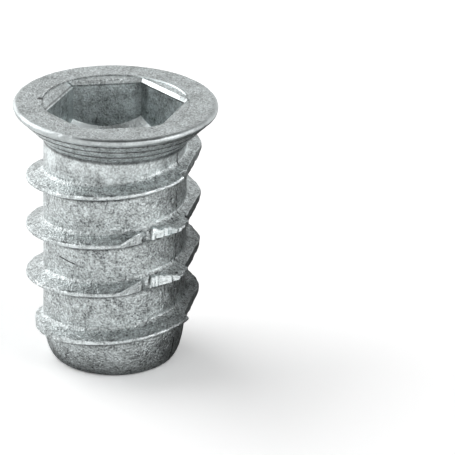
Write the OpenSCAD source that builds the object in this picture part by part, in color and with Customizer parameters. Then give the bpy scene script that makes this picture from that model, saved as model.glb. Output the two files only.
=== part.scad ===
// Flanged threaded insert for wood, turned in with a hex key and cast in one piece.
// Millimetres. The foot stands on z = 0 and the drive face is up, so the axis is Z.
// The hex sets the shank's width and the bolt thread sets the foot's, each with a wall
// of its own, and the coarse thread and the flange are measured outwards from the shank.

/* [Overall] */
// Length from the foot to the drive face
insert_l = 24.5; // [22:0.5:40]
// Azimuth of the mould line, counted from +X, with its twin half a turn on
mould_az = -31.4; // [-180:0.1:180]

/* [Bolt thread] */
// Nominal diameter of the bolt that screws in
bolt_d = 10; // [8:0.5:10]
// Pitch of the bolt thread
bolt_pitch = 1.5; // [1:0.25:2]
// Chamfer where the bore leaves the foot
foot_chamfer = 0.6; // [0.1:0.05:0.9]

/* [Hex socket] */
// Width across the flats
hex_af = 10.8; // [10.2:0.05:14]
// Depth of the corners below the drive face
hex_depth = 3.7; // [2:0.1:6]
// Angle of the socket's conical floor, from the horizontal
floor_angle = 45; // [30:1:60]
// Azimuth of one corner, counted from +X
hex_az = 8.3; // [-30:0.1:30]
// Width of the bevel along each flat, seen from above
hex_bevel = 0.25; // [0.05:0.01:0.5]
// Angle of the bevel below the drive face
hex_bevel_angle = 52; // [30:1:70]
// How far the round recess at the mouth reaches past the bevelled corners
mouth_reach = 0.05; // [0.02:0.01:0.5]
// Depth of the round recess
mouth_depth = 0.1; // [0.05:0.01:0.5]

/* [Shank] */
// Metal left between the socket's corners and the outside of the shank
socket_wall = 0.21; // [0.15:0.01:2]
// Height of the rounded nose
nose_h = 3.9; // [2:0.1:6]
// Width of the flat ring that the insert stands on
foot_ring = 0.4; // [0.2:0.05:1]

/* [Flange] */
// How far the flange stands out past the shank
flange_reach = 2.72; // [1.5:0.02:5]
// Radius of the flange's rounded rim
rim_r = 0.35; // [0.2:0.05:0.8]
// Angle of the flare below the flange, from the horizontal
flare_angle = 45; // [35:1:60]
// Radius of the fillet between the flare and the shank
neck_r = 0.9; // [0.3:0.1:2]
// Number of fine grooves round the flare
flare_grooves = 4; // [0:1:4]
// Distance between the grooves along the flare
groove_step = 0.5; // [0.3:0.05:0.6]
// Width of a groove
groove_w = 0.25; // [0.1:0.01:0.28]
// Depth of a groove
groove_depth = 0.07; // [0.02:0.01:0.15]

/* [Wood thread] */
// How far the ridge stands out from the shank
ridge_h = 1.57; // [0.8:0.01:3]
// Pitch of the ridge
ridge_pitch = 4.69; // [3:0.01:8]
// Width of the ridge's crest
crest_w = 0.3; // [0.15:0.05:0.8]
// Angle of the ridge's sides from the horizontal
flank_angle = 18; // [8:1:30]
// Fillet between the ridge and the shank
root_fillet = 0.25; // [0.05:0.05:0.6]
// Height where the ridge starts
ridge_z0 = 2.9; // [2.5:0.05:6]
// Distance from the drive face down to where the ridge ends
ridge_top_gap = 2.86; // [2:0.02:6]
// Turn of the ridge over which each end fades into the shank, in degrees
runout = 121; // [45:1:180]
// Depth of the flat that trims the crests beside the mould line
trim_depth = 0.82; // [0:0.01:1.2]
// Azimuth of the flat's middle, counted from the mould line where it starts
trim_turn = 15.4; // [5:0.1:30]

/* [Gate] */
// Height of the middle of the gate, where the metal ran into the mould
gate_z = 11.9; // [5:0.1:20]
// Height of the gate, which sets the crests that it notched
gate_span = 7.5; // [2:0.1:10]
// Azimuth of the notch's deepest point, counted from the mould line
gate_turn = -33; // [-45:1:45]
// How far the notch stops short of the shank
gate_wall = 0.35; // [0.1:0.05:1]
// Angle between the notch's sides and a tangent to the shank
gate_slope = 12; // [2:1:25]

/* [Hidden] */

$fn = 96;
eps = 0.01;
metal = "silver";

bore_r = (bolt_d - bolt_pitch) / 2;
foot_r = bore_r + foot_chamfer + foot_ring;

hex_r = hex_af / sqrt(3);
hex_mouth_r = (hex_af + 2 * hex_bevel) / sqrt(3);
hex_bevel_h = hex_bevel * tan(hex_bevel_angle);
mouth_r = hex_mouth_r + mouth_reach;
floor_z = insert_l - hex_depth - (hex_r - bore_r) * tan(floor_angle);

shank_r = hex_r + socket_wall;
nose_step = 7.5;

flange_r = shank_r + flange_reach;
rim_c = [flange_r - rim_r, insert_l - rim_r];
rim_low = rim_c + rim_r * [sin(flare_angle), -cos(flare_angle)];
neck_z = rim_low[1] - (rim_low[0] - shank_r) * tan(flare_angle);
flare_dir = [cos(flare_angle), sin(flare_angle)];
flare_out = [sin(flare_angle), -cos(flare_angle)];
neck_leg = neck_r * tan((90 - flare_angle) / 2);
neck_low = [shank_r, neck_z - neck_leg];
neck_high = [shank_r, neck_z] + neck_leg * flare_dir;
groove_start = neck_leg + groove_step;

ridge_z1 = insert_l - ridge_top_gap;
ridge_turns = (ridge_z1 - ridge_z0) / ridge_pitch;
ridge_az0 = mould_az + 180;
ridge_sink = 0.4;
ridge_steps = 60;
crest_r = shank_r + ridge_h;

trim_r = crest_r - min(trim_depth, ridge_h - 2 * root_fillet);

gate_az = mould_az + gate_turn;
gate_r = shank_r + gate_wall;

// A fine groove pressed into the flare, dist along it from the corner at the neck.
module flare_groove(dist) {
    base = [shank_r, neck_z] + dist * flare_dir;
    polygon([
        base - groove_w / 2 * flare_dir + eps * flare_out,
        base - groove_depth * flare_out,
        base + groove_w / 2 * flare_dir + eps * flare_out
    ]);
}

// Quarter of an ellipse from the edge of the foot up to the foot of the shank.
function nose_points() = [
    for (a = [0 : nose_step : 90])
        [foot_r + (shank_r - foot_r) * sin(a), nose_h * (1 - cos(a))]
];

// Half section of the turned form: nose, shank, flare and rim. Its outline cuts the corner
// at the neck, and the circle there hollows that cut out to a fillet.
module half_section() {
    difference() {
        union() {
            polygon(concat([[0, 0]], nose_points(), [
                neck_low, neck_high, rim_low, rim_c, [rim_c[0], insert_l], [0, insert_l]
            ]));
            translate(rim_c) circle(rim_r, $fn = 60);
        }
        translate(neck_low + [neck_r, 0]) circle(neck_r, $fn = 120);
        for (i = [0 : flare_grooves - 1]) flare_groove(groove_start + i * groove_step);
    }
}

// Share of its full height that the ridge has, turn counted in degrees from its start.
function fade(deg) =
    let (left = min(deg, 360 * ridge_turns - deg))
    left >= runout ? 1 : sin(90 * left / runout);

// Distance of the notch's wall from the axis, at an azimuth counted from its middle.
function notch_r(side) =
    let (a = (side + 540) % 360 - 180)
    abs(a) > 60 ? crest_r : gate_r * cos(gate_slope) / cos(min(abs(a) + gate_slope, 80));

// Distance of the trimmed flat from the axis, turn counted in degrees from the mould line.
function flat_r(turn) =
    let (a = turn % 360)
    a > trim_turn + 45 ? crest_r : trim_r / cos(a - trim_turn);

// Radius of the crest, with its faded ends, the trimmed flat and the notches of the gate.
function ridge_r(deg) =
    let (
        z = ridge_z0 + ridge_pitch * deg / 360,
        full = shank_r + ridge_h * fade(deg) - (1 - fade(deg)) * ridge_sink / 2,
        trimmed = min(full, flat_r(deg + 180)),
        notched = abs(z - gate_z) < gate_span / 2
    )
    notched ? min(trimmed, notch_r(ridge_az0 + deg - gate_az)) : trimmed;

// Half width of the ridge at a radius, its fillet at the shank included.
function flank_w(r) = crest_w / 2 + (crest_r - r) * tan(flank_angle);

// One section of the ridge, as points round its outline from the lower root up.
function ridge_ring(deg) =
    let (
        top = ridge_r(deg),
        r = [
            shank_r - ridge_sink, shank_r - ridge_sink / 2, shank_r + root_fillet, top,
            top, shank_r + root_fillet, shank_r - ridge_sink / 2, shank_r - ridge_sink
        ],
        foot_w = flank_w(shank_r + root_fillet) + root_fillet + ridge_sink / 2,
        w = [
            -foot_w, -foot_w, -flank_w(min(top, r[2])), -flank_w(top),
            flank_w(top), flank_w(min(top, r[2])), foot_w, foot_w
        ],
        az = ridge_az0 + deg,
        z = ridge_z0 + ridge_pitch * deg / 360
    )
    [for (i = [0 : 7]) let (ri = min(r[i], max(top, shank_r - ridge_sink)))
        [ri * cos(az), ri * sin(az), z + w[i]]];

// The coarse thread: sections swept up the helix and closed at both ends.
module wood_thread() {
    count = ceil(ridge_turns * ridge_steps);
    rings = [for (i = [0 : count]) ridge_ring(360 * ridge_turns * i / count)];
    n = len(rings[0]);
    sides = [
        for (i = [0 : count - 1], j = [0 : n - 1])
            let (k = (j + 1) % n)
            each [
                [i * n + j, i * n + k, (i + 1) * n + k],
                [i * n + j, (i + 1) * n + k, (i + 1) * n + j]
            ]
    ];
    first = [for (j = [n - 1 : -1 : 0]) j];
    last = [for (j = [0 : n - 1]) count * n + j];
    polyhedron(points = [for (ring = rings) each ring], faces = concat(sides, [first, last]));
}

// Bore for the bolt thread, chamfered where it leaves the foot.
module bolt_bore() {
    translate([0, 0, -1]) cylinder(r = bore_r, h = insert_l);
    translate([0, 0, -eps])
        cylinder(r1 = bore_r + foot_chamfer + eps, r2 = bore_r, h = foot_chamfer + eps);
}

// Hex for the key, with its bevelled edge and the shallow recess round its corners. Its
// floor is a cone that rises from the bore, so the flats reach deepest in their middles.
module hex_socket() {
    cone_h = insert_l + 1 - floor_z;
    mouth_z = insert_l - mouth_depth;
    intersection() {
        translate([0, 0, floor_z]) rotate([0, 0, hex_az])
            cylinder(r = hex_r, h = cone_h, $fn = 6);
        translate([0, 0, floor_z])
            cylinder(r1 = bore_r, r2 = bore_r + cone_h / tan(floor_angle), h = cone_h);
    }
    translate([0, 0, mouth_z - hex_bevel_h]) rotate([0, 0, hex_az])
        cylinder(r1 = hex_r, r2 = hex_mouth_r + eps, h = hex_bevel_h + eps, $fn = 6);
    translate([0, 0, mouth_z])
        cylinder(r1 = mouth_r - mouth_reach / 2, r2 = mouth_r, h = mouth_depth + eps);
}

module threaded_insert() {
    color(metal)
        difference() {
            union() {
                rotate_extrude() half_section();
                wood_thread();
            }
            bolt_bore();
            hex_socket();
        }
}

threaded_insert();
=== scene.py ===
# %% [markdown]
# # A cast threaded insert, step by step
#
# The object is a small zinc casting that is screwed into wood with a hex key, and then
# takes a bolt. It has a round nose, a shank with a coarse wood thread, a flange, a hex
# socket and a fine bolt thread inside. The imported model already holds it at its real
# size, with a plain bore. This lesson builds the same form again as one fine mesh, so
# that it can have the bolt thread, the marks that casting leaves, and a worn metal skin.
#
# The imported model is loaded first, and its box is kept, because nothing may outgrow it.

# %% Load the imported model
import math

import bmesh
import bpy
from mathutils import Matrix, Vector, noise


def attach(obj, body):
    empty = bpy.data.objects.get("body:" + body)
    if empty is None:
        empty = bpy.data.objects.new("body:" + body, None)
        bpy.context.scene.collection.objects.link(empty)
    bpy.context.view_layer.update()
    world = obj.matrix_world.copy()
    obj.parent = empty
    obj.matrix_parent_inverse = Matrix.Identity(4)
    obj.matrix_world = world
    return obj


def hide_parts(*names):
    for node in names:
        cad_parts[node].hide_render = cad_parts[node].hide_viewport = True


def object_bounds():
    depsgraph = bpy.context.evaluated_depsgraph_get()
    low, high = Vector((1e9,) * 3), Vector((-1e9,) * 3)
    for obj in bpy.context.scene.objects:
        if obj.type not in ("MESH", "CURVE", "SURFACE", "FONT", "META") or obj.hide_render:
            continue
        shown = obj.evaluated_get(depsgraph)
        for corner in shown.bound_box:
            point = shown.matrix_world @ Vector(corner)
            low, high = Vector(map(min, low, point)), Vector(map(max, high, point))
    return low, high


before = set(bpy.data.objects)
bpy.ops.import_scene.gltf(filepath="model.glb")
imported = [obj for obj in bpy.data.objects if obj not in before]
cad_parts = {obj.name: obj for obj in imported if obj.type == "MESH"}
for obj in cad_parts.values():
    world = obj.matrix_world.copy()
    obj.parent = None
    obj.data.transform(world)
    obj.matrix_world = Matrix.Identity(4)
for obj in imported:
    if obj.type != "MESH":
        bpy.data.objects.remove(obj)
cad_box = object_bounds()
bpy.ops.object.select_all(action="DESELECT")
print("model box in metres:", cad_box)

# %% [markdown]
# Blender counts in metres, and a part this small is easier to think of in millimetres.
# `mm` turns one into the other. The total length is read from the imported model, and the
# other sizes are the insert's own. A direction from the axis is an azimuth in degrees,
# counted from X, so that the front is at -90.

# %% Sizes of the insert
def mm(value):
    """Millimetres to metres."""
    return value / 1000


length = (cad_box[1][2] - cad_box[0][2]) * 1000
flange_r = 9.165
shank_r = 6.445
foot_r = 5.25
nose_h = 3.9
rim_r = 0.35
neck_r = 0.9
flare_z = 21.285
print("length", round(length, 3), "flange", flange_r * 2, "shank", shank_r * 2)

# %% [markdown]
# The wood thread is one ridge that climbs by its pitch in each turn. It starts at a height
# and an azimuth, and at both ends it fades over as many degrees as `runout` says.

# %% Sizes of the wood thread
pitch = 4.69
ridge_h = 1.57
crest_w = 0.3
flank_slope = math.tan(math.radians(18))
ridge_z0 = 2.9
ridge_z1 = length - 2.86
ridge_az0 = 148.6
runout = 121
ridge_turns = (ridge_z1 - ridge_z0) / pitch
print("the ridge runs", round(ridge_turns, 2), "turns")

# %% [markdown]
# ## Camera
#
# A small thing looks natural through a long lens from a little way off. The camera looks
# down by about 24 degrees and is turned slightly about its own axis.

# %% Camera
camera_place = Vector((0, mm(-290.9), mm(141.41)))
camera_aim = Vector((mm(10.206), mm(-0.119), mm(12.386)))
camera_roll = math.radians(1.342)
lens = 278.43

bpy.ops.object.camera_add(location=camera_place)
camera = bpy.context.object
camera.name = "camera"
camera.data.lens = lens
camera.data.sensor_width = 36
camera.data.clip_start = 0.01
look = (camera_aim - camera_place).to_track_quat("-Z", "Y").to_matrix()
camera.rotation_euler = (look @ Matrix.Rotation(camera_roll, 3, "Z")).to_euler()
bpy.context.scene.camera = camera
print("camera at", [round(c, 3) for c in camera.location])

# %% [markdown]
# ## Node helpers
#
# A material is a small graph of nodes. A few helpers keep the graphs short to write: one
# adds a node and sets its inputs, one starts a material, and the others stand for the
# nodes that are needed most, such as a step of arithmetic or a mix of two colours.

# %% Node helpers
def add_node(tree, kind, inputs=None, **settings):
    """Add a node. An input may be a plain value or another node's output socket."""
    made = tree.nodes.new(kind)
    for name, value in settings.items():
        setattr(made, name, value)
    for key, value in (inputs or {}).items():
        if isinstance(value, bpy.types.NodeSocket):
            tree.links.new(value, made.inputs[key])
        else:
            made.inputs[key].default_value = value
    return made


def new_material(name):
    """A material with nodes, emptied except for its output."""
    material = bpy.data.materials.new(name)
    material.use_nodes = True
    tree = material.node_tree
    tree.nodes.clear()
    output = tree.nodes.new("ShaderNodeOutputMaterial")
    return material, tree, output


def calc(tree, operation, a, b=0.0):
    """A Math node, as a function of two numbers or sockets."""
    return add_node(tree, "ShaderNodeMath", {0: a, 1: b}, operation=operation).outputs[0]


def ramp(tree, value, low, high):
    """0 below low, 1 above high, and a soft step between."""
    made = add_node(tree, "ShaderNodeMapRange",
                    {"Value": value, "From Min": low, "From Max": high},
                    interpolation_type="SMOOTHSTEP")
    return made.outputs["Result"]


def mix(tree, factor, a, b):
    """A colour between two others, which is b where the factor is 1."""
    made = add_node(tree, "ShaderNodeMix", {"Factor": factor, "A": a, "B": b},
                    data_type="RGBA")
    return made.outputs[2]


def grey(value):
    """A grey colour, which may be brighter than white."""
    return (value, value, value, 1)


print("node helpers are ready")

# %% [markdown]
# ## Floor
#
# The insert stands on a plain white floor, with soft light from both sides. Such a floor
# would come out light grey, so the camera is shown a whiter colour than the one that lights
# the metal. A colour, unlike a glow, keeps the whole depth of the shadow. What the metal
# mirrors of the floor has painted shade in two places: close to the foot, and on the right
# where the flag will stand.

# %% Floor
floor_colour = 0.8
shown_colour = 1.26
mirror_glow = 0.28

bpy.ops.mesh.primitive_plane_add(size=4, location=(0, 0, 0))
floor = bpy.context.object
floor.name = "floor"
white_floor, tree, output = new_material("white_floor")
path = add_node(tree, "ShaderNodeLightPath")
mirrored = calc(tree, "MAXIMUM", path.outputs["Is Glossy Ray"],
                path.outputs["Is Transmission Ray"])
ground = add_node(tree, "ShaderNodeTexCoord").outputs["Object"]


def dim_round(x, y, low, high, least):
    """least on the floor within low of a place, and 1 beyond high, in millimetres."""
    far = add_node(tree, "ShaderNodeVectorMath", {0: ground, 1: (mm(x), mm(y), 0)},
                   operation="DISTANCE").outputs["Value"]
    rise = calc(tree, "MULTIPLY", ramp(tree, far, mm(low), mm(high)), 1 - least)
    return calc(tree, "ADD", rise, least)


# Painted shade on the floor as the metal mirrors it, close to the foot and beside the flag.
foot_painted_shade = dim_round(0, 0, 5, 12, least=0.16)
flag_painted_shade = dim_round(18, 1, 11, 18, least=0.03)
mirrored_painted_shade = calc(tree, "MULTIPLY", foot_painted_shade, flag_painted_shade)
shown = calc(tree, "MAXIMUM", calc(tree, "SUBTRACT", 1.0, mirrored), mirrored_painted_shade)
shade = mix(tree, path.outputs["Is Camera Ray"], grey(floor_colour), grey(shown_colour))
shade = mix(tree, shown, grey(0), shade)
matt = add_node(tree, "ShaderNodeBsdfDiffuse", {"Color": shade})
glow = calc(tree, "MULTIPLY", calc(tree, "MULTIPLY", mirrored, mirrored_painted_shade), mirror_glow)
glow = add_node(tree, "ShaderNodeEmission", {"Color": grey(1), "Strength": glow})
both = add_node(tree, "ShaderNodeAddShader", {0: matt.outputs[0], 1: glow.outputs[0]})
tree.links.new(both.outputs[0], output.inputs["Surface"])
floor.data.materials.append(white_floor)
print("floor in metres:", floor.dimensions[:2])

# %% [markdown]
# ## World
#
# The world is the room around. It is white where the camera sees it. What lights the metal
# is bright near the horizon and dimmer overhead, because a dull metal shows its form only
# by what it mirrors.

# %% World
world = bpy.data.worlds.new("room")
bpy.context.scene.world = world
world.use_nodes = True
tree = world.node_tree
tree.nodes.clear()
output = tree.nodes.new("ShaderNodeOutputWorld")
path = add_node(tree, "ShaderNodeLightPath")
direction = add_node(tree, "ShaderNodeTexCoord").outputs["Generated"]
upwards = add_node(tree, "ShaderNodeSeparateXYZ", {0: direction}).outputs["Z"]
wall = add_node(tree, "ShaderNodeMapRange",
                {"Value": upwards, "From Min": 0.35, "From Max": 0.9,
                 "To Min": 0.9, "To Max": 0.2}, interpolation_type="SMOOTHSTEP")
white = calc(tree, "MAXIMUM", path.outputs["Is Camera Ray"], wall.outputs[0])
sky = add_node(tree, "ShaderNodeBackground", {"Color": grey(1), "Strength": white})
tree.links.new(sky.outputs[0], output.inputs["Surface"])
bpy.context.scene.view_settings.view_transform = "Standard"
print("the world has", len(tree.nodes), "nodes")

# %% [markdown]
# ## Lamps
#
# Two large soft lamps stand left and right, rather low, so that the shank has a bright
# band near each side.

# %% Lamps
def soft_lamp(name, azimuth, elevation, distance, size, power):
    """A square lamp that faces the middle of the insert."""
    middle = Vector((0, 0, mm(12)))
    a, e = math.radians(azimuth), math.radians(elevation)
    way = Vector((math.cos(a) * math.cos(e), math.sin(a) * math.cos(e), math.sin(e)))
    bpy.ops.object.light_add(type="AREA", location=middle + way * distance)
    lamp = bpy.context.object
    lamp.name = name
    lamp.data.size = size
    lamp.data.energy = power
    lamp.rotation_euler = (-way).to_track_quat("-Z", "Y").to_euler()
    print(name, "at", [round(c, 2) for c in lamp.location])


soft_lamp("lamp_left", azimuth=152, elevation=33, distance=0.8, size=1.0, power=5.7)
soft_lamp("lamp_right", azimuth=-30, elevation=24, distance=0.8, size=0.5, power=1.8)

# %% [markdown]
# ## Flag
#
# Round metal looks round only when one side of it mirrors something dark. In a studio a
# dark card stands there, called a flag. Here it is a dark roller beside the insert, which
# only the metal sees: not the camera, the lamps or the floor.

# %% Flag
bpy.ops.mesh.primitive_cylinder_add(vertices=64, radius=mm(8.5), depth=mm(22),
                                    location=(mm(19), mm(4.5), mm(8.5)),
                                    rotation=(math.radians(90), 0, math.radians(24)))
flag = bpy.context.object
flag.name = "flag"
dull_card, tree, output = new_material("dull_card")
matt = add_node(tree, "ShaderNodeBsdfDiffuse", {"Color": grey(0.03)})
tree.links.new(matt.outputs[0], output.inputs["Surface"])
flag.data.materials.append(dull_card)
flag.visible_camera = False
flag.visible_diffuse = False
flag.visible_shadow = False
print("flag at", [round(c * 1000, 1) for c in flag.location], "mm")

# %% [markdown]
# ## Working on a mesh
#
# Operators act on whatever is selected, so each step picks its own piece first. Most
# steps in edit mode then select all of it, run one operator and leave edit mode again,
# which `on_all` does.

# %% Pick and edit
def pick(piece):
    """Select one piece alone and make it the active one."""
    bpy.ops.object.select_all(action="DESELECT")
    piece.select_set(True)
    bpy.context.view_layer.objects.active = piece


def on_all(piece, operator, **settings):
    """Run an operator of edit mode on the whole of a piece."""
    pick(piece)
    bpy.ops.object.mode_set(mode="EDIT")
    bpy.ops.mesh.select_all(action="SELECT")
    operator(**settings)
    bpy.ops.object.mode_set(mode="OBJECT")


def face_outwards(piece):
    """Turn every face of a closed piece outwards."""
    on_all(piece, bpy.ops.mesh.normals_make_consistent, inside=False)


def select_at(piece, test):
    """In edit mode, select the points that pass a test on their place in millimetres."""
    bpy.ops.mesh.select_mode(type="VERT")
    bpy.ops.mesh.select_all(action="DESELECT")
    mesh = bmesh.from_edit_mesh(piece.data)
    for v in mesh.verts:
        v.select_set(test(v.co * 1000))
    mesh.select_flush_mode()
    bmesh.update_edit_mesh(piece.data)


def apply_modifier(piece, modifier):
    """Apply one modifier, as its Apply button does."""
    pick(piece)
    bpy.ops.object.modifier_apply(modifier=modifier.name)


print("mesh helpers are ready")

# %% [markdown]
# ## Drawing a line and turning it
#
# Turned and screwed forms start as one line. By hand that line is a single point that is
# extruded again and again, and here `outline` does the same: a small plane is merged to a
# point, the point is moved to the start, and it is extruded from each place to the next.
# A Screw modifier then turns the line, and with a climb it makes a thread.

# %% Outline and turning
def outline(name, points):
    """A new object that is one open line through points (x, z), in millimetres."""
    bpy.ops.mesh.primitive_plane_add(size=mm(1), location=(0, 0, 0))
    piece = bpy.context.object
    piece.name = name
    bpy.ops.object.mode_set(mode="EDIT")
    bpy.ops.mesh.select_mode(type="VERT")
    bpy.ops.mesh.select_all(action="SELECT")
    bpy.ops.mesh.merge(type="CENTER")
    here = points[0]
    bpy.ops.transform.translate(value=(mm(here[0]), 0, mm(here[1])))
    for there in points[1:]:
        step = (mm(there[0] - here[0]), 0, mm(there[1] - here[1]))
        bpy.ops.mesh.extrude_vertices_move(TRANSFORM_OT_translate={"value": step})
        here = there
    bpy.ops.object.mode_set(mode="OBJECT")
    return piece


def turn_up(piece, steps, climb=0.0, turns=1):
    """Turn the line about the Z axis, climbing in each turn, and merge where turns meet."""
    screw = piece.modifiers.new("turn", "SCREW")
    screw.axis = "Z"
    screw.angle = 2 * math.pi
    screw.screw_offset = mm(climb)
    screw.iterations = turns
    screw.steps = screw.render_steps = steps
    apply_modifier(piece, screw)
    on_all(piece, bpy.ops.mesh.remove_doubles, threshold=mm(0.001))
    print(piece.name, "has", len(piece.data.polygons), "faces")


# %% [markdown]
# A level cut shortens a piece or adds a row of points at a height, and a cut through the
# axis adds a column of points at an azimuth. Both are Bisect on the whole piece.

# %% Cuts
def cut_level(piece, z, clear=None, fill=False):
    """Cut the whole piece at a height, and clear what is above or below it."""
    on_all(piece, bpy.ops.mesh.bisect, plane_co=(0, 0, mm(z)), plane_no=(0, 0, 1),
           use_fill=fill, clear_inner=clear == "below", clear_outer=clear == "above",
           threshold=mm(0.0005))


def cut_through(piece, azimuth):
    """Cut the whole piece along the plane through the axis at an azimuth in degrees."""
    side = math.radians(azimuth + 90)
    on_all(piece, bpy.ops.mesh.bisect, plane_co=(0, 0, 0),
           plane_no=(math.cos(side), math.sin(side), 0), threshold=mm(0.0005))


print("cuts are ready")

# %% [markdown]
# ## Shank and wood thread
#
# The ridge of the wood thread repeats every pitch. So the skin starts as a line one pitch
# tall: half a gap, the lower side of the ridge, its crest, its upper side and the other
# half of the gap. Turned six times round the axis while it climbs, it gives shank and
# ridge in one even skin, with rows that follow the thread. A separate ridge joined to a
# cylinder would need a boolean, and would leave no fillet at its root. The rows stand
# closer together at the root and at the crest, where the section is round.

# %% Section of one pitch
crest_round = 0.21
root_fillet_w = 0.2
root_fillet_h = 0.3


def half_width(height):
    """Half the ridge's width at a height above the shank, with its fillet and round crest."""
    from_top = ridge_h - height
    fillet = root_fillet_w * max(0.0, 1 - height / root_fillet_h) ** 2
    width = crest_w / 2 + from_top * flank_slope + fillet
    if from_top < crest_round:
        arc = 2 * crest_round * from_top - from_top ** 2
        width = min(width, math.sqrt(max(0.0, arc)))
    return max(width, 0.01)


flank_rows = [0.0, 0.03, 0.08, 0.15, 0.3, 0.55, 0.85, 1.15, 1.36, 1.46, 1.525, 1.558]
gap_rows = 6
root_w = half_width(0)
gap = [root_w + (pitch / 2 - root_w) * i / gap_rows for i in range(gap_rows, 0, -1)]
lower = [(0.0, -w) for w in gap] + [(h, -half_width(h)) for h in flank_rows]
half = lower + [(ridge_h, 0.0)]
section = half + [(h, -w) for h, w in reversed(half[:-1])]
print("rows in a pitch:", len(section) - 1)

# %% Screw the section up
helix_steps = 300
centre_z = ridge_z0 - pitch * ridge_az0 / 360 - pitch
skin = outline("skin", [(shank_r + h, centre_z + w) for h, w in section])
turn_up(skin, helix_steps, climb=pitch, turns=6)

# %% [markdown]
# The rough skin is cut off at the floor and below the flange. More cuts near the floor
# give the nose enough rows to turn in smoothly.

# %% Cut the skin to length
cap_z = 21.8
nose_rows = (1.3, 0.75, 0.45, 0.25, 0.12, 0.04)
for z in nose_rows:
    cut_level(skin, z)
cut_level(skin, 0, clear="below")
cut_level(skin, cap_z, clear="above")
print("skin height", round(skin.dimensions[2] * 1000, 3), "mm")

# %% [markdown]
# The mould has two halves, and each place where they meet leaves a fine line on the metal.
# A loose block of the mould held the gate, and its other edge left a second line. Cuts
# along those lines give them their points. The crests beside the gate need a finer mesh
# than the rest, because the metal is torn there.

# %% Rows along the mould lines
mould_az = -31.4
block_az = -62.0
seam_w = 0.9
block_step_w = 0.3
for azimuth in (mould_az - seam_w, mould_az, mould_az + seam_w,
                block_az - block_step_w, block_az + block_step_w):
    cut_through(skin, azimuth)
on_all(skin, bpy.ops.mesh.remove_doubles, threshold=mm(0.01))


def near_marks(p):
    """True on the parts of the ridge that the gate and the mould marked."""
    radius, azimuth = math.hypot(p.x, p.y), math.degrees(math.atan2(p.y, p.x))
    gate = -94 < azimuth < -27 and 8.0 < p.z < 15.7
    lip = -50 < azimuth < -22 and 18.0 < p.z < 20.5
    return radius > shank_r + 0.4 and (gate or lip)


bpy.ops.object.mode_set(mode="EDIT")
select_at(skin, near_marks)
bpy.ops.mesh.subdivide(number_cuts=1)
bpy.ops.object.mode_set(mode="OBJECT")
print("the skin has", len(skin.data.vertices), "points")

# %% [markdown]
# ### From an even skin to the real form
#
# Every point of the skin now knows what it belongs to: its height above the shank says
# how far up the ridge it is. The next functions give the real form in numbers. The ridge
# fades out at both ends, as a thread does that runs out of a mould, and the nose, the
# neck fillet and the flare change the radius of the body under it.

# %% Body and ridge in numbers
neck_leg = neck_r * math.tan(math.radians(22.5))


def body_radius(z):
    """Radius of nose, shank, neck fillet and flare at a height."""
    if z < nose_h:
        rise = 1 - z / nose_h
        return foot_r + (shank_r - foot_r) * math.sqrt(max(0.0, 1 - rise * rise))
    start = flare_z - neck_leg
    if z <= start:
        return shank_r
    if z < start + neck_r * math.sin(math.radians(45)):
        return shank_r + neck_r - math.sqrt(neck_r ** 2 - (z - start) ** 2)
    return shank_r + z - flare_z


def ridge_share(turned):
    """Share of its full height that the ridge has after so many degrees."""
    left = min(turned, 360 * ridge_turns - turned)
    if left <= 0:
        return 0.0
    return 1.0 if left >= runout else math.sin(math.pi / 2 * left / runout)


print("body radius at 1, 10 and 21.7 mm:",
      [round(body_radius(z), 3) for z in (1, 10, 21.7)])

# %% [markdown]
# ### Gate
#
# The gate is where the metal ran into the mould. Its stub was broken off, which left a
# notch with torn metal in two of the crests, beside the line where the mould parted. In
# plan the notch is two straight cuts that meet at a blunt angle, so its distance from the
# axis follows from a cosine.

# %% Notch of the gate
gate_z = 11.9
gate_span = 7.5
gate_az = -64.4
gate_r = 6.795
gate_slope = math.radians(12)
gate_reach = 60


def turned_from(azimuth, start):
    """Degrees from one azimuth to another, between -180 and 180."""
    return (azimuth - start + 180) % 360 - 180


def notch_radius(azimuth, z):
    """How far out the ridge may reach at the gate."""
    side = abs(turned_from(azimuth, gate_az))
    if abs(z - gate_z) > gate_span / 2 or side > gate_reach:
        return shank_r + ridge_h
    turned = min(math.radians(side) + gate_slope, math.radians(80))
    return gate_r * math.cos(gate_slope) / math.cos(turned)


print("the notch is deepest", round(notch_radius(gate_az, gate_z), 3), "mm from the axis")

# %% [markdown]
# ### Trimmed crests
#
# On one side of the mould line the crests were trimmed flat, so that seen from above there
# is a straight edge instead of a round one. Its far corner is worn round, which
# `softer_min` does: it takes the smaller of two numbers, and a little less than that where
# they are close. On the line's other side, a few degrees of each crest stand lower too.

# %% Trimmed flat
trim_r = 7.195
trim_turn = 15.4
trim_reach = 60
trim_round = 0.5
top_crest_z = 17.0
first_crest_z = 6.0
top_crest_low = 1.1
other_crests_low = 1.35


def softer_min(a, b, blend):
    """The smaller of two numbers, rounded off where they are close."""
    close = max(0.0, 1 - abs(a - b) / blend)
    return min(a, b) - blend * close ** 2 / 4


def trimmed_radius(azimuth, z):
    """How far out the ridge may reach beside the mould line."""
    full = shank_r + ridge_h
    side = turned_from(azimuth, mould_az)
    if 0 <= side <= trim_turn + trim_reach:
        flat = trim_r / math.cos(math.radians(side - trim_turn))
        return softer_min(flat, full, trim_round)
    if z > top_crest_z:
        return shank_r + top_crest_low if -9 < side < 0 else full
    return shank_r + other_crests_low if z > first_crest_z and -7 < side < 0 else full


print("the flat stands", trim_r, "mm from the axis")

# %% [markdown]
# ### Torn metal
#
# Where the stub broke off, the cut left of the notch is smooth and streaked, its deepest
# place is a dark nick, and the metal right of it is torn. On the top crest there is no
# notch, but a burr was pushed up beside the mould line. Each of these functions says how
# much of one mark there is at a place, and the shape and the colour both use them.

# %% Torn metal
def step_in(value, low, high):
    """0 below low, 1 above high and a straight slope between."""
    return min(1.0, max(0.0, (value - low) / (high - low)))


def at_gate(z):
    """1 on the ridges that the gate notched."""
    return 1.0 if abs(z - gate_z) < gate_span / 2 else 0.0


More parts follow.
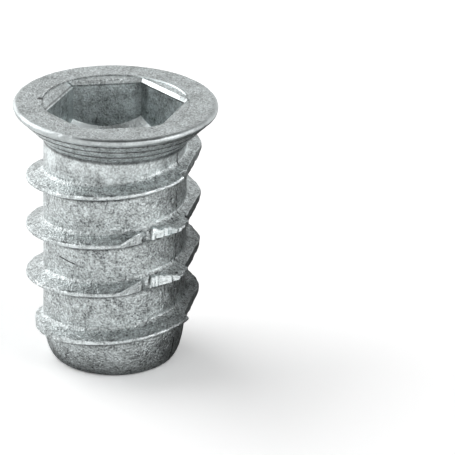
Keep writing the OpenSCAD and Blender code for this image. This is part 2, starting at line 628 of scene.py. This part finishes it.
def torn(azimuth, z):
    """Share of torn metal, from the notch up to the mould line."""
    return at_gate(z) * step_in(azimuth, -62.4, -61.2) * (1 - step_in(azimuth, -46, -42))


def streaked(azimuth, z):
    """Share of the streaked cut on the left of the notch."""
    return at_gate(z) * step_in(azimuth, -88, -84) * (1 - step_in(azimuth, -69.5, -68))


def nick(azimuth, z, off):
    """Share of the nick at the bottom of the notch, which leans to the right, painted dark as
    shade.
    """
    side = abs(azimuth + 65.3 - 3.2 * off)
    return at_gate(z) * max(0.0, 1 - side / 4.4)


def burr(azimuth, z):
    """Share of the burr that was pushed up beside the mould line on the top crest."""
    return (z > top_crest_z) * step_in(azimuth, -47, -43) * (1 - step_in(azimuth, -36, -32))


print("torn metal at -65, -55 and -45 degrees:",
      [round(torn(a, gate_z), 2) for a in (-65, -55, -45)])

# %% [markdown]
# ### Marks of the mould
#
# Where the two halves of the mould met, a thin line is pressed in on both sides of the
# shank. The skin that the loose block made lies a hair deeper than the rest, which shows
# as a small step at the block's edge.

# %% Mould lines
seam_deep = 0.03
block_deep = 0.04


def seam_depth(azimuth):
    """How deep the mould line is pressed in, in millimetres."""
    side = abs((azimuth - mould_az + 90) % 180 - 90)
    return seam_deep * max(0.0, 1 - side / seam_w)


def block_depth(azimuth):
    """How deep the skin lies behind the loose block of the mould, in millimetres."""
    behind = step_in(azimuth, block_az - block_step_w, block_az + block_step_w)
    return block_deep * behind * (azimuth < mould_az)


print("depth on the mould line:", round(seam_depth(mould_az), 3), "mm")

# %% [markdown]
# Casting leaves nothing quite even. `relief` is a slow wave of a few hundredths of a
# millimetre with a finer one on top of it, `dents` are knocks in the crests, and `jagged`
# is the rough break of torn metal. They all come from one smooth noise, which depends only
# on the place, so it is the same in each run.

# %% Relief of the casting
def wave(x, y, z, fineness=1.0, start=(0, 0, 0)):
    """Smooth noise about zero, whose waves are shorter where fineness is larger."""
    return noise.noise(Vector((x, y, z)) * fineness + Vector(start))


def relief(x, y, z):
    """Unevenness of the cast skin, in millimetres, about zero."""
    return 0.030 * wave(x, y, z, 0.55) + 0.018 * wave(x, y, z, 1.9, start=(7, 3, 5))


def dents(x, y, z):
    """Small knocks in the crests, in millimetres, always inwards."""
    return 0.22 * max(0.0, wave(x, y, z, 1.7, start=(2, 9, 4)) - 0.25)


def jagged(x, y, z):
    """A rough wave about zero, as metal has where it broke."""
    return wave(x, y, z, 3.1)


print("relief in front, at half height:", round(relief(0, -shank_r, 12), 4), "mm")

# %% [markdown]
# ### Where a point is on the ridge
#
# The ridge is a helix, so a point's place on it takes three numbers: its azimuth, how far
# it lies above or below the middle of the nearest turn, and how high that middle is. The
# fourth number is how far the ridge stands out there. `marked_top` then takes off what
# the gate and hard use have taken, and `fit_ridge` moves a point of the even ridge to a
# lower one: down by the same share, and across to where the side is at that height.

# %% Ridge at a place
def ridge_place(x, y, z):
    """Azimuth, height above the ridge's middle, the middle's height and the ridge's top."""
    azimuth = math.degrees(math.atan2(y, x))
    axial = (z - ridge_z0 - pitch * (azimuth - ridge_az0) / 360) / pitch
    off = (axial - round(axial)) * pitch
    turned = 360 * round(axial) + azimuth - ridge_az0
    reach = min(notch_radius(azimuth, z - off), trimmed_radius(azimuth, z - off))
    return azimuth, off, z - off, min(ridge_h * ridge_share(turned), reach - shank_r)


def marked_top(x, y, z, azimuth, off, middle, top):
    """The ridge's top above the shank, with what was torn, streaked, nicked and knocked."""
    top += torn(azimuth, middle) * (0.4 * jagged(x, y, z) - 0.05)
    top -= 0.16 * nick(azimuth, middle, off)
    top += 0.05 * wave(azimuth * 0.05, z * 5, 0) * streaked(azimuth, middle)
    return top - dents(x, y, z) if top > 0.4 else top


def fit_ridge(h, off, top):
    """Where a point of the even ridge goes, once the ridge is only top high."""
    if h <= 0.001 and abs(off) > root_w:
        return 0.0, off
    share = max(0.0, top / ridge_h)
    new_h = h * share
    new_off = off / half_width(max(h, 0.0)) * half_width(new_h)
    settled = min(1.0, share / 0.3)
    return new_h, new_off * settled + off * (1 - settled)


print("the ridge in front, 12 mm up:", [round(n, 2) for n in ridge_place(0, -shank_r, 12)])

# %% Shape the skin
def shape_skin():
    """Move each point of the even skin to its real place."""
    for v in skin.data.vertices:
        x, y, z = (c * 1000 for c in v.co)
        radius = math.hypot(x, y)
        azimuth, off, middle, top = ridge_place(x, y, z)
        top = marked_top(x, y, z, azimuth, off, middle, top)
        new_h, new_off = fit_ridge(radius - shank_r, off, top)
        ragged = wave(x, y, z, 1.4) * 0.05 * min(1, new_h)
        near_crest = new_h > 0.8 * top > 0
        z_new = z + new_off - off
        if off > 0 and near_crest:
            z_new += 0.16 * burr(azimuth, middle)
        if 0.001 < z < cap_z - 0.001:
            z_new += ragged * 0.6
        base = body_radius(z_new)
        above_foot = min(1.0, z / 1.5)
        r_new = max(base, min(base, shank_r) + new_h + ragged)
        r_new += relief(x, y, z) * above_foot
        if top < 0.3 or new_h < 0.9 * top:
            r_new -= (seam_depth(azimuth) + block_depth(azimuth)) * above_foot
            r_new += 0.03 * jagged(x, y, z) * (block_az < azimuth < mould_az)
        v.co = (mm(x / radius * r_new), mm(y / radius * r_new), mm(z_new))


shape_skin()
print("skin box", [round(d * 1000, 2) for d in skin.dimensions])

# %% [markdown]
# ## Flange
#
# The flange is turned, so it is one line spun about the axis: the flare with its fine
# rings, the rounded rim and the drive face, down to a small hole that the socket cuts
# away later.

# %% Line of the flange
flare_dir = Vector((math.cos(math.radians(45)), math.sin(math.radians(45))))
flare_out = Vector((flare_dir.y, -flare_dir.x))
ring_places = (1.0, 2.2, 3.3)
ring_w = 0.42
ring_depth = 0.09
ring_section = ((-0.5, 0), (-0.25, 0.7), (0, 1), (0.25, 0.7), (0.5, 0))
rim_c = Vector((flange_r - rim_r, length - rim_r))
face_rows = (8.5, 8.1, 7.7, 7.3, 6.9, 6.1, 5.5, 4.9)


def flare_point(distance, depth=0.0):
    """A point on the flare, so far from the corner at the neck, pressed in by depth."""
    return Vector((shank_r, flare_z)) + flare_dir * distance - flare_out * depth


flange_line = [flare_point((cap_z - flare_z) / flare_dir.y)]
for middle in ring_places:
    for along, depth in ring_section:
        flange_line.append(flare_point(middle + along * ring_w, depth * ring_depth))
for degrees in range(-45, 91, 15):
    a = math.radians(degrees)
    flange_line.append(rim_c + Vector((math.cos(a), math.sin(a))) * rim_r)
for r in face_rows:
    flange_line.append(Vector((r, length)))
print("points in the flange's line:", len(flange_line))

# %% Turn the flange
flange = outline("flange", [tuple(p) for p in flange_line])
turn_up(flange, helix_steps)


def shape_flange():
    """Give the turned flange the unevenness of a casting, and leave its lower edge."""
    for v in flange.data.vertices:
        x, y, z = (c * 1000 for c in v.co)
        radius = math.hypot(x, y)
        if z < cap_z + 0.01:
            continue
        grow = 1 - abs(wave(x, y, z, 1.1)) * 0.05 / radius
        if z > length - 0.01:
            z -= abs(relief(x, y, z)) * 0.6
        elif radius > flange_r - rim_r:
            grow -= dents(x, y, z) * 0.5 / radius
        v.co = (mm(x * grow), mm(y * grow), mm(z))


shape_flange()
print("flange box", [round(d * 1000, 2) for d in flange.dimensions])

# %% [markdown]
# Skin and flange are joined, and the two open edges that face each other are bridged. The
# hole in the drive face and the one in the foot are filled, so that the piece is a closed
# solid before the socket is cut.

# %% Join and close
def select_open_edges(piece, test):
    """In edit mode, select the open edges whose middle passes a test, in millimetres."""
    bpy.ops.mesh.select_mode(type="EDGE")
    bpy.ops.mesh.select_all(action="DESELECT")
    mesh = bmesh.from_edit_mesh(piece.data)
    found = 0
    for e in mesh.edges:
        if e.is_boundary and test((e.verts[0].co + e.verts[1].co) * 500):
            e.select_set(True)
            found += 1
    bmesh.update_edit_mesh(piece.data)
    return found


pick(skin)
flange.select_set(True)
bpy.ops.object.join()
insert = bpy.context.object
insert.name = "insert"
bpy.ops.object.mode_set(mode="EDIT")
bridged = select_open_edges(insert, lambda p: 20 < p.z < 23)
bpy.ops.mesh.bridge_edge_loops()
at_top = select_open_edges(insert, lambda p: p.z > 23)
bpy.ops.mesh.edge_face_add()
at_foot = select_open_edges(insert, lambda p: p.z < 1)
bpy.ops.mesh.edge_face_add()
bpy.ops.object.mode_set(mode="OBJECT")
face_outwards(insert)
print("edges bridged", bridged, "closed at the top", at_top, "and at the foot", at_foot)

# %% [markdown]
# ## Hex socket
#
# The socket is a hexagon pressed down from the drive face, with a bevel along each flat,
# a conical end, and a shallow round recess that reaches just past the corners. It is made
# as the punches that would form it, and a boolean takes each one away from the solid.

# %% Cut with solids
def combine(piece, other, operation):
    """Combine two closed solids and delete the second."""
    cut = piece.modifiers.new("cut", "BOOLEAN")
    cut.operation = operation
    cut.solver = "EXACT"
    cut.object = other
    apply_modifier(piece, cut)
    bpy.data.objects.remove(other, do_unlink=True)


def take_away(cutter):
    """Cut one solid out of the insert."""
    combine(insert, cutter, "DIFFERENCE")
    print("faces after the cut:", len(insert.data.polygons))


def cone(name, sides, low_r, high_r, low_z, high_z):
    """A closed cone or prism on the axis, with its place kept in its mesh."""
    bpy.ops.mesh.primitive_cone_add(
        vertices=sides, radius1=mm(low_r), radius2=mm(high_r), depth=mm(high_z - low_z),
        location=(0, 0, mm((low_z + high_z) / 2)))
    bpy.ops.object.transform_apply(location=True, rotation=True, scale=True)
    bpy.context.object.name = name
    return bpy.context.object


# %% Sizes of the socket
hex_flat = 10.8
hex_depth = 3.7
hex_bevel = 0.25
hex_turn = 8.3
bore_r = 4.25
bevel_h = hex_bevel * math.tan(math.radians(52))
mouth_z = length - 0.1
hex_r = hex_flat / math.sqrt(3)
hex_mouth_r = (hex_flat + 2 * hex_bevel) / math.sqrt(3)
mouth_r = hex_mouth_r + 0.05
floor_z = length - hex_depth - (hex_r - bore_r)
print("the socket's cone meets the bore at", round(floor_z, 2), "mm")

# %% [markdown]
# The punch starts as a prism with six sides. Its top is extruded twice: up the bevel,
# where it also grows wider, and then straight up past the drive face. A cone that widens
# upwards from the bore trims its lower end.

# %% Hex punch
def turn_hex(punch):
    """Turn a six-sided punch until a corner lies at the socket's azimuth."""
    first = punch.data.vertices[0].co
    corner = math.degrees(math.atan2(first.y, first.x))
    punch.data.transform(Matrix.Rotation(math.radians(hex_turn - corner), 4, "Z"))


def extrude_up(height):
    """In edit mode, extrude what is selected straight up."""
    bpy.ops.mesh.extrude_region_move(TRANSFORM_OT_translate={"value": (0, 0, mm(height))})


def hex_punch():
    """The hexagon with its bevel, standing past the drive face, and its conical end."""
    bevel_z = mouth_z - bevel_h
    punch = cone("hex_punch", 6, hex_r, hex_r, floor_z, bevel_z)
    bpy.ops.object.mode_set(mode="EDIT")
    select_at(punch, lambda p: p.z > bevel_z - 0.01)
    wider = hex_mouth_r / hex_r
    extrude_up(bevel_h)
    bpy.ops.transform.resize(value=(wider, wider, 1), center_override=(0, 0, mm(mouth_z)))
    extrude_up(1)
    bpy.ops.object.mode_set(mode="OBJECT")
    face_outwards(punch)
    turn_hex(punch)
    cone_h = length + 2 - floor_z
    end = cone("hex_end", 192, bore_r, bore_r + cone_h, floor_z, floor_z + cone_h)
    combine(punch, end, "INTERSECT")
    return punch


take_away(hex_punch())

# %% [markdown]
# The recess is round and only a tenth of a millimetre deep. It leaves a narrow ledge along
# each side of the hexagon.

# %% Round recess
recess_taper = 0.025
take_away(cone("mouth_punch", 256, mouth_r - recess_taper, mouth_r + recess_taper,
               mouth_z, 2 * length - mouth_z))

# %% [markdown]
# ### Worn lip
#
# The mouth is wider in front and on the left, as if the socket's punch had leaned that
# way. The hexagon below is true, so it is not moved. A second, slanting punch widens the
# mouth alone: its lower end has the hexagon's size, and its upper end is pushed aside.

# %% Worn lip
lip_depth = 0.55
lip_shift = (-0.4, -0.39)


def lip_punch():
    """A short hexagon whose top leans to the left and to the front."""
    punch = cone("lip_punch", 6, hex_r, hex_mouth_r, mouth_z - lip_depth, mouth_z)
    turn_hex(punch)
    bpy.ops.object.mode_set(mode="EDIT")
    select_at(punch, lambda p: p.z > mouth_z - 0.01)
    bpy.ops.transform.translate(value=(mm(lip_shift[0]), mm(lip_shift[1]), 0))
    extrude_up(1)
    bpy.ops.object.mode_set(mode="OBJECT")
    face_outwards(punch)
    return punch


take_away(lip_punch())

# %% [markdown]
# ## Chamfer at the foot
#
# The bore leaves the foot through a chamfer, which helps the tap to start. It is one wide
# cone that starts a little below the foot, so that no thin skin is left there.

# %% Chamfer at the foot
foot_chamfer = 0.6
past_foot = 0.2
chamfer_r = bore_r + foot_chamfer + past_foot
chamfer_tip_r = bore_r - 0.05
chamfer_h = chamfer_r - chamfer_tip_r
take_away(cone("foot_punch", 192, chamfer_r, chamfer_tip_r, -past_foot,
               chamfer_h - past_foot))

# %% [markdown]
# ## Bolt thread
#
# The bolt thread is a fine helix, 10 mm across with a pitch of 1.5 mm. A tap cuts it, so
# it is made as that tap: one pitch of its outline is turned up the axis as the shank was,
# closed at both ends, and taken away. The line starts below the foot, because a helix is
# whole only a turn after its start.

# %% Tap
bolt_r = 5.0
bolt_pitch = 1.5
tap_start = -4
tap_turns = 18


def tap():
    """The solid that cuts the bolt thread."""
    crest, root = 0.25 * bolt_pitch, 0.125 * bolt_pitch
    rise = (bolt_pitch - crest - root) / 2
    half_way = (bore_r + bolt_r) / 2
    line = [(bore_r, 0), (bore_r, crest), (half_way, crest + rise / 2),
            (bolt_r, crest + rise), (bolt_r, crest + rise + root),
            (half_way, bolt_pitch - rise / 2), (bore_r, bolt_pitch)]
    piece = outline("tap", [(r, z + tap_start) for r, z in line])
    turn_up(piece, 96, climb=bolt_pitch, turns=tap_turns)
    cut_level(piece, -0.8, clear="below", fill=True)
    cut_level(piece, length - hex_depth - 0.2, clear="above", fill=True)
    face_outwards(piece)
    return piece


take_away(tap())

# %% [markdown]
# ## Wear and painted light
#
# Handling rubs the crests and the rim bright, and torn metal is bright from the start.
# Highlights and shade are painted with the same number, and the nicks are painted dark as
# shade. Each point of the mesh gets one number for it: 1 is bright metal or a painted
# highlight, 0 is the plain cast skin and -1 is black painted shade. The material reads that
# number.
#
# The ridge has four kinds of place. Below it, in the corner with the shank, shade is
# painted in a line. Above it, on the right, a highlight is painted in a line along the same
# corner. On its upper side, just short of the crest, it is darker in dashes. The crest itself
# is rubbed, cut or torn, with a painted highlight in front and painted shade on the far left.

# %% Wear and painted light on the ridge
def painted_shade_below_ridge(off, top):
    """The line of painted shade in the corner under the ridge."""
    return -0.9 * step_in(off, -1.12, -0.86) * step_in(top, 0.3, 0.8)


def painted_highlight_above_ridge(off):
    """A painted highlight in a line in the corner over the ridge."""
    return 0.8 * step_in(off, 0.76, 0.88) * (1 - step_in(off, 0.95, 1.05))


def dashes(azimuth, middle):
    """Dark dashes that follow the crest."""
    return -0.7 * step_in(wave(azimuth * 0.12, middle, 0), -0.1, 0.3)


def patchy(x, y, z):
    """Patches of more and less rubbing, about a half."""
    return 0.5 + wave(x, y, z, 1.3)


def crest_wear_and_painted_light(x, y, z, azimuth, off, middle):
    """Crest: some rubbing with a painted highlight in front, painted shade on the far left,
    cut and torn metal at the gate, and painted shade in the nick.
    """
    # In front a highlight is painted; on the far left the factor goes below zero and paints
    # shade.
    rubbed_and_painted_light = (0.1 + 0.6 * patchy(x, y, z)) * (1.3 * step_in(azimuth, -150, -115) - 0.3)
    inwards = shank_r + ridge_h - math.hypot(x, y)
    streak = step_in(wave(azimuth * 0.06, z * 5, 0), -0.3, 0.2)
    cut = streaked(azimuth, middle) * step_in(inwards, 0.1, 0.3) * streak
    rip = torn(azimuth, middle)
    crack = 2.2 * wave(x, y, z, 3.4) * step_in(azimuth, -57, -55)
    bright_and_painted_light = (rubbed_and_painted_light if rubbed_and_painted_light < 0 else max(rubbed_and_painted_light, cut)) * (1 - rip) + rip * (1.0 + crack)
    bright_and_painted_light = max(bright_and_painted_light, 0.9 * burr(azimuth, middle))
    # The nick is painted dark as shade.
    return max(-1.0, min(1.0, bright_and_painted_light - 2.6 * nick(azimuth, middle, off)))


# The corner under the ridge gets painted shade.
print("dirt in the corner under the ridge:", round(painted_shade_below_ridge(-0.8, ridge_h), 2))

# %% [markdown]
# The next function decides which of those places a point is in. The rim of the flange is
# rubbed a little as well, with a little painted highlight, and the socket, the bore and the
# flare are left plain.

# %% Wear and painted light of each point
def wear_and_painted_light_at(x, y, z):
    """Wear and painted light at a point of the finished insert."""
    radius = math.hypot(x, y)
    if radius > flange_r - 0.12 and z > length - 0.6:
        # The rim gets a little wear with a painted highlight.
        return 0.2 * patchy(x, y, z)
    if radius < shank_r - 0.15 or z > 21:
        return 0.0
    azimuth, off, middle, top = ridge_place(x, y, z)
    h = radius - shank_r
    if top > 0.3 and h < 0.4 and off < 0:
        return painted_shade_below_ridge(off, top)
    on_right = -58 < azimuth < -20 and middle < top_crest_z
    if top > 0.3 and h < 0.35 and 0 < off < 1.1 and on_right:
        return painted_highlight_above_ridge(off)
    if off > 0 and 0.1 < top - h < 0.32 and -128 < azimuth < -62:
        return dashes(azimuth, middle)
    if h < 0.12 or h < top - 0.08 - 0.25 * torn(azimuth, middle):
        return 0.0
    return crest_wear_and_painted_light(x, y, z, azimuth, off, middle)


# One number per point for wear, painted highlights and painted shade.
wear_and_painted_light = insert.data.attributes.new("wear_and_painted_light", "FLOAT", "POINT")
wear_and_painted_light.data.foreach_set("value", [wear_and_painted_light_at(*(v.co * 1000)) for v in insert.data.vertices])
print("points with wear:", sum(abs(w.value) > 0.05 for w in wear_and_painted_light.data))

# %% [markdown]
# ## Cast zinc
#
# The finish is bare zinc, dull from the mould and brighter where it has rubbed. It is one
# metal all over, so it is one material, and its marks, painted highlights and painted shade
# are drawn with masks. A mask is a number that is 1 where a mark is and 0 elsewhere: the
# product of two masks is where both are, and the largest is where either is.

# %% Cast zinc: masks
cast_zinc, tree, output = new_material("cast_zinc")


def fold(operation, parts):
    """One step of arithmetic, from the first part through to the last."""
    result = parts[0]
    for part in parts[1:]:
        result = calc(tree, operation, result, part)
    return result


def product(*masks):
    """All masks multiplied."""
    return fold("MULTIPLY", masks)


def total(*parts):
    """All parts added."""
    return fold("ADD", parts)


def largest(*masks):
    """The largest of all masks."""
    return fold("MAXIMUM", masks)


def less(mask, share=1.0):
    """1 where the mask is 0, and less by a share where it is 1."""
    return calc(tree, "SUBTRACT", 1.0, product(mask, share))


def below(value, low, high):
    """1 below low and 0 above high."""
    return less(ramp(tree, value, low, high))


def band(value, middle, half, soft):
    """1 in a band about the middle, 0 outside, with soft edges."""
    away = calc(tree, "ABSOLUTE", calc(tree, "SUBTRACT", value, middle))
    return below(away, half, half + soft)


print("masks are ready")

# %% [markdown]
# The material reads the place of each point in millimetres, and works out how far it is
# from the axis, in which direction and how high. The first masks are the parts of the
# insert: the flat drive face, the rim round it, the outer skin, the flare, and the
# socket's walls, with and without their bevel.

# %% Cast zinc: parts of the insert
place = add_node(tree, "ShaderNodeTexCoord").outputs["Object"]
place = add_node(tree, "ShaderNodeVectorMath", {0: place, 3: 1000.0},
                 operation="SCALE").outputs[0]
x, y, height = add_node(tree, "ShaderNodeSeparateXYZ", {0: place}).outputs
radius = calc(tree, "SQRT", total(product(x, x), product(y, y)))
azimuth = calc(tree, "DEGREES", calc(tree, "ARCTAN2", y, x))

flat_face = ramp(tree, height, mouth_z - 0.05, mouth_z - 0.02)
rim = product(ramp(tree, radius, flange_r - 0.45, flange_r - 0.3),
              ramp(tree, height, length - 0.75, length - 0.6))
outer_skin = largest(ramp(tree, radius, shank_r - 0.12, shank_r - 0.08),
                     product(ramp(tree, radius, foot_r - 0.1, foot_r - 0.05),
                             below(height, floor_z - 1.0, floor_z - 0.5)))
on_flare = ramp(tree, radius, shank_r + 0.2, shank_r + 0.4)
in_mouth = below(radius, mouth_r - 0.1, mouth_r - 0.05)
walls = product(in_mouth, ramp(tree, height, floor_z, floor_z + 0.5))
pressed = product(walls, below(height, mouth_z - 0.1, mouth_z))
plain_walls = product(walls, below(height, mouth_z - bevel_h - 0.02, mouth_z - bevel_h))
print("nodes so far:", len(tree.nodes))

# %% [markdown]
# The grain comes in three sizes: broad patches, mottling and fine crystals. It is weaker
# where the metal was pressed or rubbed smooth, which is on the drive face, on the socket's
# walls and on the rim. The walls have stronger patches instead.

# %% Cast zinc: grain
def grain_of(scale, detail, strength):
    """Noise about zero, with so many features in a millimetre."""
    made = add_node(tree, "ShaderNodeTexNoise",
                    {"Vector": place, "Scale": scale, "Detail": detail,
                     "Roughness": 0.6})
    return product(calc(tree, "SUBTRACT", made.outputs["Fac"], 0.5), strength)


patches = grain_of(scale=0.6, detail=3.0, strength=1.0)
mottle = product(grain_of(scale=1.8, detail=3.0, strength=1.6), less(flat_face, 0.5))
crystals = grain_of(scale=5.5, detail=2.0, strength=2.8)
rough_cast = total(1.0, product(flat_face, -0.2), product(pressed, -0.35))
rough_cast = calc(tree, "MINIMUM", rough_cast, less(rim, 0.75))
uneven = total(product(total(crystals, mottle), rough_cast), patches,
               product(patches, pressed))
print("nodes so far:", len(tree.nodes))

# %% [markdown]
# Painted shade is a factor that only darkens. It is painted in a thin line along the
# mould's parting, in the rings of the flare, in the neck under it, and under the front of
# the rim.

# %% Cast zinc: painted shade in lines
# Painted shade along the mould line, in the flare's rings, in the neck and under the front of
# the rim.
parting = largest(band(azimuth, mould_az, 0.45, 0.5), band(azimuth, mould_az + 180, 0.45, 0.5))
parting = product(parting, outer_skin, below(height, cap_z, cap_z + 0.5),
                  below(radius, shank_r + 0.3, shank_r + 0.6),
                  ramp(tree, mottle, -0.35, 0.15))
ring_lines = [product(band(height, flare_z + s * flare_dir.y, 0.05, 0.13), on_flare, 0.85)
              for s in ring_places]
neck_line = product(band(height, flare_z - 0.05, 0.06, 0.25), outer_skin,
                    below(radius, shank_r + 0.2, shank_r + 0.5), 0.75)
under_rim = product(band(height, length - 0.12, 0.03, 0.07), band(azimuth, -88.0, 20.0, 8.0),
                    ramp(tree, radius, flange_r - 0.4, flange_r - 0.3), 0.7)
print("lines of dirt:", 3 + len(ring_lines))

# %% [markdown]
# A few pits are black as well, and so is one scratch that slants over the shank. One pit
# is on the left of the ridge and one on the drive face, and the others are among the torn
# metal at the gate.

# %% Cast zinc: pits and a scratch
pit_places = (  # azimuth in degrees, then distance from the axis, height and size in mm
    (-143.65, 7.3, 14.14, 0.15), (175.4, 6.75, 24.5, 0.3), (-40.5, 6.7, 15.1, 0.13),
    (-30.0, 7.36, 15.0, 0.17), (-33.0, 6.48, 10.78, 0.15), (-37.5, 6.46, 10.72, 0.1),
    (-42.0, 7.52, 10.11, 0.15), (-56.5, 7.6, 9.89, 0.17),
)
scratch_start_az = -140.0
scratch_start_z = 11.25
scratch_fall = 0.014


def pit(degrees, r, z, size):
    """A small round mask about a place."""
    a = math.radians(degrees)
    far = add_node(tree, "ShaderNodeVectorMath",
                   {0: place, 1: (r * math.cos(a), r * math.sin(a), z)},
                   operation="DISTANCE").outputs["Value"]
    return below(far, size * 0.5, size * 1.3)


pits = [pit(*pit_place) for pit_place in pit_places]
fallen = product(calc(tree, "SUBTRACT", azimuth, scratch_start_az), scratch_fall)
scratch = product(band(total(height, fallen), scratch_start_z, 0.045, 0.05),
                  band(azimuth, -131.0, 7.5, 1.5))
print("pits:", len(pits))

# %% [markdown]
# In the socket, shade is painted under the bevel, in one corner, and round the edge of the
# recess. That edge is shaded all round except on the right at the back, where a highlight
# is painted instead.

# %% Cast zinc: painted shade in the socket
# Painted shade under the bevel, in one corner and round the recess edge, except on the side
# with the painted highlight.
under_bevel = product(band(height, mouth_z - bevel_h - 0.08, 0.03, 0.06), in_mouth, 0.6)
back_corner = product(walls, band(azimuth, 67.0, 3.0, 6.0), 0.4)
recess_edge = product(band(radius, mouth_r - 0.02, 0.03, 0.05),
                      ramp(tree, height, mouth_z - 0.05, mouth_z))
painted_highlight_side = band(azimuth, 45.0, 24.0, 6.0)
recess_painted_shade = product(recess_edge, calc(tree, "SUBTRACT", 0.45, painted_highlight_side))
# Pits and the scratch are real dirt and marks; the rest is painted shade.
dirt_and_painted_shade = largest(parting, neck_line, scratch, under_bevel, recess_painted_shade, under_rim, back_corner,
               *ring_lines, *pits)
print("nodes so far:", len(tree.nodes))

# %% [markdown]
# Bright metal and painted highlights are where the wear value says so, broken up into short
# streaks that run round the insert, the way it turns in the wood. The socket has bright
# places of its own: painted highlights on two corners of its cone, flecks beside the recess
# on the left, painted highlights on the bevel and the recess on the right at the back, and a
# painted highlight in a narrow stripe down one corner.

# %% Cast zinc: bright places and painted highlights
worn_and_painted_light = add_node(tree, "ShaderNodeAttribute", attribute_name="wear_and_painted_light").outputs["Fac"]
streaks = add_node(tree, "ShaderNodeCombineXYZ",
                   {0: product(azimuth, 0.25), 1: product(height, 7.0)})
streaks = add_node(tree, "ShaderNodeTexNoise",
                   {"Vector": streaks.outputs[0], "Scale": 1.0, "Detail": 1.0})
streaks = ramp(tree, streaks.outputs["Fac"], 0.3, 0.6)
# Wear together with painted highlights, in streaks.
rubbed_and_painted_light = product(worn_and_painted_light, total(product(streaks, 0.7), 0.4))

# Painted highlights on two corners of the cone, on the bevel and recess edge at the back
# right, and in a stripe down one corner.
on_cone = band(calc(tree, "SUBTRACT", height, radius), floor_z - bore_r, 0.06, 0.06)
cone_painted_highlights = product(on_cone, largest(band(azimuth, 124.0, 14.0, 6.0),
                                        product(band(azimuth, 66.0, 8.0, 8.0), 0.6)))
flecks = product(band(radius, mouth_r + 0.02, 0.1, 0.1), band(azimuth, 150.0, 20.0, 6.0),
                 flat_face, ramp(tree, crystals, 0.1, 0.3))
bevel = product(band(height, mouth_z - bevel_h / 2, bevel_h / 2 - 0.04, 0.04), in_mouth)
bevel_painted_highlight = product(largest(recess_edge, bevel), painted_highlight_side, 0.9)
corner_painted_highlight = product(walls, band(azimuth, 132.5, 3.0, 3.0), 0.4)
bright_and_painted_light = largest(rubbed_and_painted_light, cone_painted_highlights, flecks, bevel_painted_highlight, corner_painted_highlight, 0.0)
print("nodes so far:", len(tree.nodes))

# %% [markdown]
# Grain, wear, dirt and painted light meet in the colour. The tone starts from the dull cast
# metal, a little lighter on the socket's walls, and the grain makes it lighter and darker.
# Bright metal and painted highlights pull it up towards nearly white, and dirt and painted
# shade take most of it away.

# %% Cast zinc: colour
cast_tone = total(product(plain_walls, 0.1), 0.55)
darkest, lightest = 0.08, 0.95
bright_and_highlight_tone = 0.97
zinc_tint = (0.935, 1.0, 1.005, 1)

tone = product(total(uneven, 1.0), cast_tone)
tone = largest(calc(tree, "MINIMUM", tone, lightest), darkest)
# Bright metal and painted highlights lift the tone; dirt and painted shade darken it below.
tone = total(tone, product(bright_and_painted_light, calc(tree, "SUBTRACT", bright_and_highlight_tone, tone)))
black_dirt_and_painted_shade = largest(product(worn_and_painted_light, -1.0), dirt_and_painted_shade)
tone = product(tone, less(black_dirt_and_painted_shade, 0.85))
colour = mix(tree, tone, grey(0), zinc_tint)
print("nodes so far:", len(tree.nodes))

# %% [markdown]
# Where the metal is rubbed or a highlight is painted, it is also a little shinier, so its
# roughness is lower. The grain is embossed as well, because crystals in a casting stand out,
# but less where the metal was rubbed or pressed smooth.

# %% Cast zinc: shine and grain
cast_roughness = 0.41
shine = calc(tree, "SUBTRACT", cast_roughness, product(bright_and_painted_light, 0.13))
smooth = product(largest(bright_and_painted_light, rim, product(pressed, 0.7)), 0.75)
bump = add_node(tree, "ShaderNodeBump", {"Height": crystals, "Strength": less(smooth),
                                         "Distance": mm(0.05)})
metal = add_node(tree, "ShaderNodeBsdfPrincipled",
                 {"Base Color": colour, "Metallic": 1.0, "Roughness": shine,
                  "Normal": bump.outputs[0]})
tree.links.new(metal.outputs[0], output.inputs["Surface"])
insert.data.materials.clear()
insert.data.materials.append(cast_zinc)
print("cast zinc has", len(tree.nodes), "nodes")

# %% [markdown]
# ## Finish
#
# Faces that meet at a small angle are shaded smooth and the sharp edges stay. The piece
# rides on the one body of the part and stands for the plain model.

# %% Finish the insert
pick(insert)
bpy.ops.object.shade_smooth_by_angle(angle=math.radians(25))
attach(insert, "root")
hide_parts("threaded_insert")
insert.data.calc_loop_triangles()
print("triangles:", len(insert.data.loop_triangles))
